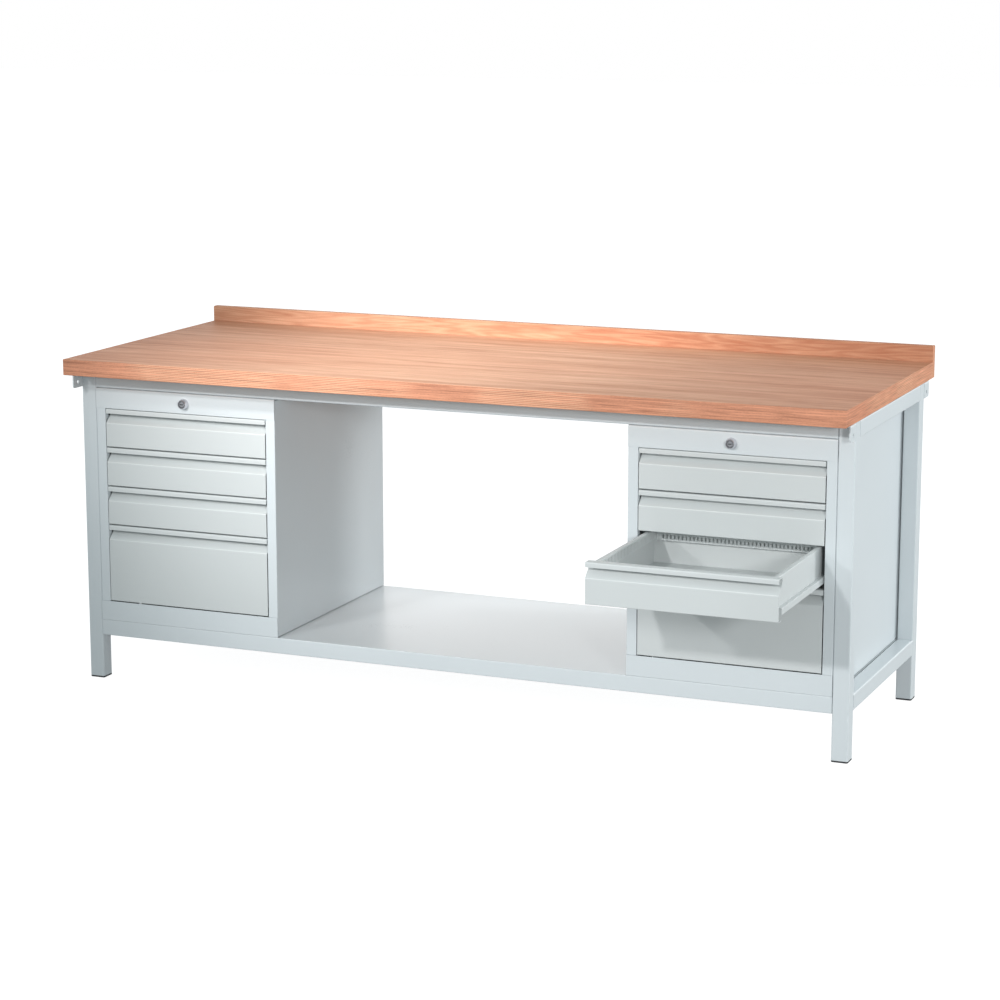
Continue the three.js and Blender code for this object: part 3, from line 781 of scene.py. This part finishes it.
def pedestal_side(node, steel, side, opening):
    """A side sheet with its stile, stepped in behind the stile where it stands beside the legs."""
    low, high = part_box(node)
    low_opening, high_opening = opening
    front_x, inner_x = (high.x, low.x) if side > 0 else (low.x, high.x)
    beside_legs = (side > 0) == (front_x > 0)
    outer_x = front_x - side * (steel.side_inset if beside_legs else 0.0)
    jog = [(outer_x, low.y + steel.side_jog + steel.side_inset),
           (front_x, low.y + steel.side_jog)]
    line = [(outer_x - side * steel.back_flange, high.y), (outer_x, high.y),
            *(jog if beside_legs else []),
            (front_x, low.y + steel.panel_sheet + JOINT_GAP), (front_x, low.y),
            (front_x - side * steel.stile, low.y),
            (front_x - side * steel.stile, low.y + steel.stile_return)]
    shape = folded(line, 2, [low.z, low_opening, high_opening, high.z])
    behind_band = low.y + steel.panel_sheet + 2 * HAIR_GAP
    drop_faces(shape, lambda spot: spot.y < behind_band
               and not low_opening < spot.z < high_opening)
    drop_faces(shape, lambda spot: abs(spot.x - front_x) > steel.stile * 0.98
               and spot.y < low.y + steel.stile_return
               and not low_opening < spot.z < high_opening)
    outside = Vector((front_x + side, (low.y + high.y) / 2, (low.z + high.z) / 2))
    return sheet_metal(shape, steel.panel_sheet, steel.panel_fold, outside)


def lock_band(node, steel, lock_spot, bore):
    """The band over the drawers and the pedestal's top, in one sheet, with a hole for the lock."""
    low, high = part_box(node)
    line = [(low.y, low.z), (low.y, high.z), (high.y, high.z)]
    edge = bore * 0.75
    shape = folded(line, 0, [low.x, lock_spot.x - edge, lock_spot.x + edge, high.x])
    for level in (lock_spot.z - edge, lock_spot.z + edge):
        bmesh.ops.bisect_plane(shape, geom=[*shape.verts, *shape.edges, *shape.faces],
                               plane_co=(0, 0, level), plane_no=(0, 0, 1))
    window = [face for face in shape.faces
              if (face.calc_center_median() - Vector((lock_spot.x, low.y, lock_spot.z))).length
              < edge / 2]
    rim = list({e for face in window for e in face.edges})
    bmesh.ops.delete(shape, geom=window, context='FACES_ONLY')
    bmesh.ops.subdivide_edges(shape, edges=rim, cuts=5)
    ring = [e for e in shape.edges if e.is_boundary and all(
        max(abs(v.co.x - lock_spot.x), abs(v.co.z - lock_spot.z)) < edge * 1.01
        and abs(v.co.y - low.y) < 1e-6 for v in e.verts)]
    circle = bmesh.ops.create_circle(shape, cap_ends=False, segments=len(ring), radius=bore / 2)
    bmesh.ops.rotate(shape, cent=(0, 0, 0),
                     matrix=Matrix.Rotation(math.pi / 2, 3, 'X') @ Matrix.Rotation(
                         math.pi / 4, 3, 'Z'), verts=circle["verts"])
    bmesh.ops.translate(shape, vec=(lock_spot.x, low.y, lock_spot.z), verts=circle["verts"])
    hoop = list({e for v in circle["verts"] for e in v.link_edges})
    bmesh.ops.triangle_fill(shape, use_beauty=True, edges=ring + hoop)
    bmesh.ops.recalc_face_normals(shape, faces=shape.faces)
    return sheet_metal(shape, steel.panel_sheet, steel.panel_fold,
                       Vector((lock_spot.x, low.y, high.z + 1.0)))


class BENCH_OT_pedestals(bpy.types.Operator):
    """Make the sheets of both pedestals and finish their runners"""

    bl_idname = "bench.make_pedestals"
    bl_label = "Pedestals"

    def execute(self, context):
        steel = context.scene.bench_steel
        looks = finishes()
        for name in PEDESTALS:
            base_low, base_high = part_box(f"{name}_pedestal_base")
            top_low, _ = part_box(f"{name}_pedestal_top")
            opening = (base_high.z + JOINT_GAP, top_low.z - JOINT_GAP)
            lock_low, lock_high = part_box(f"{name}_lock_body")
            lock_spot = (lock_low + lock_high) / 2
            bore = context.scene.bench_locks.barrel + 2 * JOINT_GAP
            line = [(base_high.y, base_low.z), (base_low.y, base_low.z),
                    (base_low.y, base_high.z)]
            under = Vector((lock_spot.x, base_low.y, base_low.z - 1.0))
            pieces = {
                "pedestal_base": sheet_metal(folded(line, 0, [base_low.x, base_high.x]),
                                             steel.panel_sheet, steel.panel_fold, under),
                "pedestal_top": lock_band(f"{name}_pedestal_top", steel, lock_spot, bore),
            }
            for side_name, side in SIDES.items():
                node = f"{name}_pedestal_side_{side_name}"
                pieces[f"pedestal_side_{side_name}"] = pedestal_side(node, steel, side, opening)
            back = block(*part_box(f"{name}_pedestal_back"))
            round_off(back, back.edges[:], steel.back_ease, 2)
            pieces["pedestal_back"] = back
            for part, shape in pieces.items():
                finished(f"{name}_{part}_sheet", shape, "bench", [looks["frame"]],
                         [f"{name}_{part}"])
            for side_name in SIDES:
                set_finish(f"{name}_runner_frame_{side_name}", looks["zinc"])
            set_finish(f"{name}_lock_bar", looks["zinc"])
        return {'FINISHED'}


def set_finish(node, material):
    """Give a CAD node that stays as it is its material."""
    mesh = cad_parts[node].data
    mesh.materials.clear()
    mesh.materials.append(material)


# ---- Drawers -------------------------------------------------------------------------------------

class BENCH_OT_drawers(bpy.types.Operator):
    """Make the drawer fronts, the slotted trays and their slides"""

    bl_idname = "bench.make_drawers"
    bl_label = "Drawers"

    def execute(self, context):
        drawers = context.scene.bench_drawers
        looks = finishes()
        for name in PEDESTALS:
            for number in DRAWERS:
                drawer = f"{name}_drawer_{number}"
                finished(f"{drawer}_face", drawer_front(f"{drawer}_front", drawers), drawer,
                         [looks["front"]], [f"{drawer}_front"])
                finished(f"{drawer}_box", tray(f"{drawer}_tray", drawers), drawer,
                         [looks["front"]], [f"{drawer}_tray"])
                finished(f"{drawer}_slides", slides(f"{drawer}_tray", drawers), drawer,
                         [looks["front"]])
        return {'FINISHED'}


def drawer_front(node, drawers):
    """The front's sheet as a solid of even wall, its outer side towards the room."""
    low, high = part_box(node)
    wall = drawers.sheet
    outer = [(low.y + drawers.front_flange, low.z), (low.y, low.z),
             (low.y, high.z - drawers.fold_drop), (high.y - wall, high.z - drawers.slope_drop),
             (high.y - wall, high.z - wall), (low.y + wall, high.z - wall),
             (low.y + wall, high.z - drawers.lip_height)]
    shape = folded(outer, 0, [low.x, high.x])
    before = Vector(((low.x + high.x) / 2, low.y - 1.0, (low.z + high.z - drawers.fold_drop) / 2))
    return sheet_metal(shape, wall, drawers.front_fold, before)


def slot_places(start, end, drawers, width):
    """Places along a flange where its slots begin and end, centred between two ends."""
    count = int((end - start - drawers.slot_pitch) / drawers.slot_pitch)
    first = (start + end) / 2 - (count - 1) * drawers.slot_pitch / 2
    centres = [first + i * drawers.slot_pitch for i in range(count)]
    return [place for centre in centres for place in (centre - width / 2, centre + width / 2)]


def tray(node, drawers):
    """Floor, walls and slotted rims of a tray."""
    low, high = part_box(node)
    wall = drawers.sheet
    x0, x1 = low.x + drawers.slide_width, high.x - drawers.slide_width
    rim0, rim1 = x0 + drawers.rim, x1 - drawers.rim
    flange_low = high.z - drawers.rim_flange
    slot_low, slot_high = flange_low + drawers.slot_margin, high.z - drawers.slot_margin
    levels = [flange_low, slot_low, slot_high, high.z]
    line = [*((rim1, z) for z in levels), (x1, high.z), (x1, low.z),
            (x0, low.z), (x0, high.z), *((rim0, z) for z in reversed(levels))]
    slots = slot_places(low.y + drawers.rim, high.y - 2 * drawers.rim, drawers, drawers.slot_width)
    body = folded(line, 1, [low.y, *slots, high.y])

    def in_slot(spot, along, across, inner, top, bottom):
        at_flange = min(abs(spot[across] - side) for side in inner) < 1e-5
        return at_flange and bottom < spot.z < top and any(
            a < spot[along] < b for a, b in zip(slots[::2], slots[1::2]))

    drop_faces(body, lambda spot: in_slot(spot, 1, 0, (rim0, rim1), slot_high, slot_low))
    merge_strips(body, 1)
    middle_x = (low.x + high.x) / 2
    shell = sheet_metal(body, wall, drawers.front_fold, (middle_x, low.y, low.z - 1.0))

    slots = slot_places(rim0 + wall, rim1 - wall, drawers, drawers.slot_width)
    flange_y = high.y - drawers.rim
    slot_low = flange_low + drawers.back_slot_low
    slot_high = slot_low + drawers.back_slot_height
    back_line = [*((flange_y, z) for z in (flange_low, slot_low, slot_high, high.z)),
                 (high.y, high.z)]
    rear = folded(back_line, 0, [rim0 + 2 * HAIR_GAP, *slots, rim1 - 2 * HAIR_GAP])
    drop_faces(rear, lambda spot: in_slot(spot, 0, 1, (flange_y,), slot_high, slot_low))
    merge_strips(rear, 0)
    rear = sheet_metal(rear, wall, drawers.front_fold,
                       (middle_x, high.y + 1.0, (low.z + high.z) / 2))
    parts = [shell, rear]
    for y0, top in ((low.y, high.z), (high.y - wall - HAIR_GAP, high.z - wall)):
        plate = block((x0 + wall + HAIR_GAP, y0, low.z + wall + HAIR_GAP),
                      (x1 - wall - HAIR_GAP, y0 + wall, top - HAIR_GAP))
        parts.append(plate)
    return joined(*parts)


def merge_strips(shape, axis):
    """Melt the cross edges that no slot needs, so flat strips run in one face."""
    def needless(edge):
        return (direction(edge) != axis and len(edge.link_faces) == 2
                and edge.calc_face_angle() < 0.01
                and all(len(vert.link_edges) == 4 or vert.is_boundary for vert in edge.verts)
                and not any(other.is_boundary for vert in edge.verts
                            for other in vert.link_edges))
    extra = [edge for edge in shape.edges if needless(edge)]
    bmesh.ops.dissolve_edges(shape, edges=extra, use_verts=True)


def slides(node, drawers):
    """The two channels on a tray's sides and the catch for the lock bar."""
    low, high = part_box(node)
    parts = []
    for side, outer in ((-1, low.x), (1, high.x)):
        root = outer - side * (drawers.slide_width - HAIR_GAP)
        bottom, top = low.z + drawers.slide_low, low.z + drawers.slide_high
        line = [(root, top), (outer, top), (outer, bottom), (root, bottom)]
        channel = folded(line, 1, [low.y, high.y])
        middle = Vector((outer + side, (low.y + high.y) / 2, (bottom + top) / 2))
        parts.append(sheet_metal(channel, drawers.slide_sheet, drawers.slide_fold, middle))
        inner, rim = sorted((root, outer - side * drawers.slide_sheet))
        parts.append(block((inner, low.y, bottom + drawers.slide_sheet),
                           (rim, low.y + drawers.slide_sheet, top - drawers.slide_sheet)))
    wall_x = low.x + drawers.slide_width
    catch_low = Vector((wall_x - drawers.catch_reach, low.y + drawers.catch_setback,
                        low.z + drawers.catch_lift))
    catch_high = Vector((wall_x, catch_low.y + drawers.catch_sheet,
                         catch_low.z + drawers.catch_height))
    catch = block(catch_low, catch_high)
    round_off(catch, catch.edges[:], drawers.catch_ease, 2)
    return joined(*parts, catch)


# ---- Locks ---------------------------------------------------------------------------------------

def spun(profile, centre, steps=48):
    """A ring or disc turned about an axis along Y, from (radius, y) points."""
    shape = bmesh.new()
    verts = [shape.verts.new((radius, y, 0.0)) for radius, y in profile]
    edges = [shape.edges.new(pair) for pair in zip(verts, verts[1:])]
    bmesh.ops.spin(shape, geom=verts + edges, cent=(0, 0, 0), axis=(0, 1, 0),
                   angle=2 * math.pi, steps=steps, use_merge=True)
    bmesh.ops.remove_doubles(shape, verts=shape.verts, dist=1e-6)
    bmesh.ops.recalc_face_normals(shape, faces=shape.faces)
    bmesh.ops.translate(shape, vec=(centre.x, 0.0, centre.z), verts=shape.verts)
    return shape


def lock_collar(node, locks):
    """The lock's collar with its coned front, a groove in its face whose bed takes a dark painted
    shade, and the barrel.
    """
    low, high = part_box(node)
    centre = (low + high) / 2
    outer = (high.x - low.x) / 2
    face, bore, barrel = locks.collar_face / 2, locks.bore / 2, locks.barrel / 2
    groove_out, groove_in = face - locks.collar_rim, bore + locks.inner_rim
    band = frame_band(node)
    ease, gap = locks.collar_ease, locks.collar_gap
    shoulder = band - locks.collar_foot
    bed = low.y + locks.groove_depth
    profile = [
        (bore, high.y), (barrel, high.y), (barrel, band - gap), (outer, band - gap),
        (outer, shoulder + ease), (outer - ease / 2, shoulder),
        (face, low.y + ease), (face - ease, low.y), (groove_out, low.y), (groove_out, bed),
        (groove_in, bed), (groove_in, low.y), (bore, low.y), (bore, high.y),
    ]
    shape = spun(profile, centre)
    for item in shape.faces:
        spot = item.calc_center_median() - centre
        radius = math.hypot(spot.x, spot.z)
        # the groove's bed takes the dark painted shade
        behind = low.y + gap < spot.y + centre.y < bed + gap
        if behind and groove_in - gap < radius < groove_out + gap:
            item.material_index = 1
    return shape


def frame_band(node):
    """Y of the outer face of the band that a lock goes through."""
    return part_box(node.split("_")[0] + "_pedestal_top")[0].y


def lock_core(node, locks):
    """The plug with its key slot, and the cam behind it."""
    low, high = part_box(node)
    body_low, body_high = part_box(node.replace("plug", "body"))
    centre = (body_low + body_high) / 2
    ease = locks.plug_ease
    half_length, half_width = locks.slot_length / 2, locks.slot_width / 2
    shape = bmesh.new()
    bmesh.ops.create_circle(shape, cap_ends=False, segments=48, radius=locks.plug / 2)
    hoop = shape.edges[:]
    grown = bmesh.ops.extrude_edge_only(shape, edges=hoop)["geom"]
    lip, lip_edges = points_of(grown), edges_of(grown)
    bmesh.ops.scale(shape, vec=(0.93, 0.93, 1.0), verts=lip)
    bmesh.ops.translate(shape, vec=(0, 0, ease), verts=lip)
    corners = [(-half_length, -half_width), (half_length, -half_width),
               (half_length, half_width), (-half_length, half_width)]
    mouth = [shape.verts.new((x, y, ease)) for x, y in corners]
    mouth_edges = [shape.edges.new(pair) for pair in zip(mouth, mouth[1:] + mouth[:1])]
    bmesh.ops.triangle_fill(shape, use_beauty=True, edges=lip_edges + mouth_edges)
    for edges, drop in ((mouth_edges, -locks.slot_depth), (hoop, low.y + ease - high.y)):
        grown = bmesh.ops.extrude_edge_only(shape, edges=edges)["geom"]
        deep = points_of(grown)
        bmesh.ops.translate(shape, vec=(0, 0, drop), verts=deep)
        bmesh.ops.contextual_create(shape, geom=edges_of(grown))
        # the key slot's walls take the dark painted shade
        if edges is mouth_edges:
            for face in {face for vert in deep for face in vert.link_faces}:
                face.material_index = 1
    bmesh.ops.recalc_face_normals(shape, faces=shape.faces)
    bmesh.ops.rotate(shape, cent=(0, 0, 0), matrix=Matrix.Rotation(math.pi / 2, 3, 'X'),
                     verts=shape.verts)
    bmesh.ops.translate(shape, vec=(centre.x, low.y + ease, centre.z), verts=shape.verts)
    cam_front = body_high.y + JOINT_GAP
    cam = block((centre.x - locks.cam_back, cam_front, low.z),
                (high.x, cam_front + locks.cam, high.z))
    upright = [edge for edge in cam.edges if direction(edge) == 1]
    round_off(cam, upright, locks.cam_corner, 5)
    return joined(shape, cam)


class BENCH_OT_locks(bpy.types.Operator):
    """Make the chrome lock collars and the plugs with their key slots"""

    bl_idname = "bench.make_locks"
    bl_label = "Locks"

    def execute(self, context):
        locks = context.scene.bench_locks
        looks = [finishes()["chrome"], finishes()["recess"]]
        for name in PEDESTALS:
            finished(f"{name}_lock_collar", lock_collar(f"{name}_lock_body", locks), "bench",
                     looks, [f"{name}_lock_body"])
            finished(f"{name}_lock_core", lock_core(f"{name}_lock_plug", locks),
                     f"{name}_lock_plug", looks, [f"{name}_lock_plug"])
        return {'FINISHED'}


# ---- Studio --------------------------------------------------------------------------------------

def aimed(light, place, aim):
    """Put a light in the scene, pointing at a spot."""
    holder = bpy.data.objects.new(light.name, light)
    bpy.context.scene.collection.objects.link(holder)
    holder.location = place
    holder.rotation_euler = (Vector(aim) - Vector(place)).to_track_quat('-Z', 'Y').to_euler()
    holder.visible_camera = False


class BENCH_OT_studio(bpy.types.Operator):
    """Set the camera, the lights, the surrounding light and the pale floor"""

    bl_idname = "bench.set_studio"
    bl_label = "Studio"

    def execute(self, context):
        scene = context.scene
        studio = scene.bench_studio
        scene.view_settings.view_transform = 'Standard'
        camera = bpy.data.cameras.new("camera")
        camera.lens = studio.lens
        holder = bpy.data.objects.new("camera", camera)
        scene.collection.objects.link(holder)
        holder.location = studio.camera_place
        holder.rotation_euler = studio.camera_turn
        scene.camera = holder

        for name, (angle, blend, radius) in SPOTS.items():
            light = bpy.data.lights.new(name, 'SPOT')
            light.energy = getattr(studio, f"{name}_power")
            light.shadow_soft_size = radius
            light.spot_size = math.radians(angle)
            light.spot_blend = blend
            aim = studio.key_aim if name == "second" else getattr(studio, f"{name}_aim")
            aimed(light, getattr(studio, f"{name}_place"), aim)
        side = bpy.data.lights.new("side", 'AREA')
        side.energy = studio.side_power
        side.shape = 'DISK'
        side.size = studio.side_size
        aimed(side, studio.side_place, studio.side_aim)
        self.make_surroundings(scene, studio)
        self.make_floor(studio)
        return {'FINISHED'}

    def make_surroundings(self, scene, studio):
        """White around the bench, with a weaker tinted light for shaded faces."""
        world = bpy.data.worlds.new("studio")
        world.use_nodes = True
        scene.world = world
        nodes, links = world.node_tree.nodes, world.node_tree.links
        paths = nodes.new("ShaderNodeLightPath")
        shade = [channel * studio.fill for channel in studio.fill_colour]
        before = None
        for ray, colour_seen in (("Is Glossy Ray", [studio.sheen] * 3), ("Is Diffuse Ray", shade)):
            pick = nodes.new("ShaderNodeMix")
            pick.data_type = 'RGBA'
            pick.inputs[6].default_value = (1.0, 1.0, 1.0, 1.0)
            pick.inputs[7].default_value = (*colour_seen, 1.0)
            links.new(paths.outputs[ray], pick.inputs[0])
            if before:
                links.new(before.outputs[2], pick.inputs[6])
            before = pick
        links.new(before.outputs[2], nodes["Background"].inputs["Color"])

    def make_floor(self, studio):
        """A wide pale floor that stays nearly white."""
        shape = bmesh.new()
        bmesh.ops.create_grid(shape, x_segments=8, y_segments=8, size=30.0)
        bmesh.ops.translate(shape, vec=(0, 0, -0.5 * MM), verts=shape.verts)
        mesh = bpy.data.meshes.new("floor")
        shape.to_mesh(mesh)
        shape.free()
        floor = bpy.data.objects.new("floor", mesh)
        bpy.context.scene.collection.objects.link(floor)
        paper = Finish("floor_paper", Base_Color=(0.35, 0.35, 0.35, 1.0), Roughness=0.9,
                       Specular_IOR_Level=0.1, Emission_Color=(1.0, 1.0, 1.0, 1.0))
        seen = paper.node("ShaderNodeLightPath", {}, {}, "Is Camera Ray")
        paper.vary("Emission Strength", seen * (0.9 - studio.bounce) + studio.bounce)
        mesh.materials.append(paper.material)


# ---- Panel and registration ----------------------------------------------------------------------

OPERATORS = (BENCH_OT_boards, BENCH_OT_frame, BENCH_OT_shelf, BENCH_OT_pedestals,
             BENCH_OT_drawers, BENCH_OT_locks, BENCH_OT_studio)


class BENCH_PT_panel(bpy.types.Panel):
    """Workbench tools in the sidebar"""

    bl_label = "Workbench"
    bl_idname = "BENCH_PT_panel"
    bl_space_type = 'VIEW_3D'
    bl_region_type = 'UI'
    bl_category = "Workbench"

    def draw(self, context):
        for operator in OPERATORS:
            self.layout.operator(operator.bl_idname)
        for name, group in GROUPS:
            box = self.layout.box()
            box.label(text=group.__doc__)
            for prop in group.__annotations__:
                box.prop(getattr(context.scene, name), prop)


def register():
    """Add the property groups, operators and panel."""
    for name, group in GROUPS:
        bpy.utils.register_class(group)
        setattr(bpy.types.Scene, name, PointerProperty(type=group))
    for item in (*OPERATORS, BENCH_PT_panel):
        bpy.utils.register_class(item)


def unregister():
    """Take them away again."""
    for item in (BENCH_PT_panel, *reversed(OPERATORS)):
        bpy.utils.unregister_class(item)
    for name, group in reversed(GROUPS):
        delattr(bpy.types.Scene, name)
        bpy.utils.unregister_class(group)


def main():
    """Make the whole bench."""
    register()
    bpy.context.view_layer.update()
    bpy.ops.bench.make_boards()
    bpy.ops.bench.make_frame()
    bpy.ops.bench.make_shelf()
    bpy.ops.bench.make_pedestals()
    bpy.ops.bench.make_drawers()
    bpy.ops.bench.make_locks()
    bpy.ops.bench.set_studio()


if __name__ == "__main__":
    main()
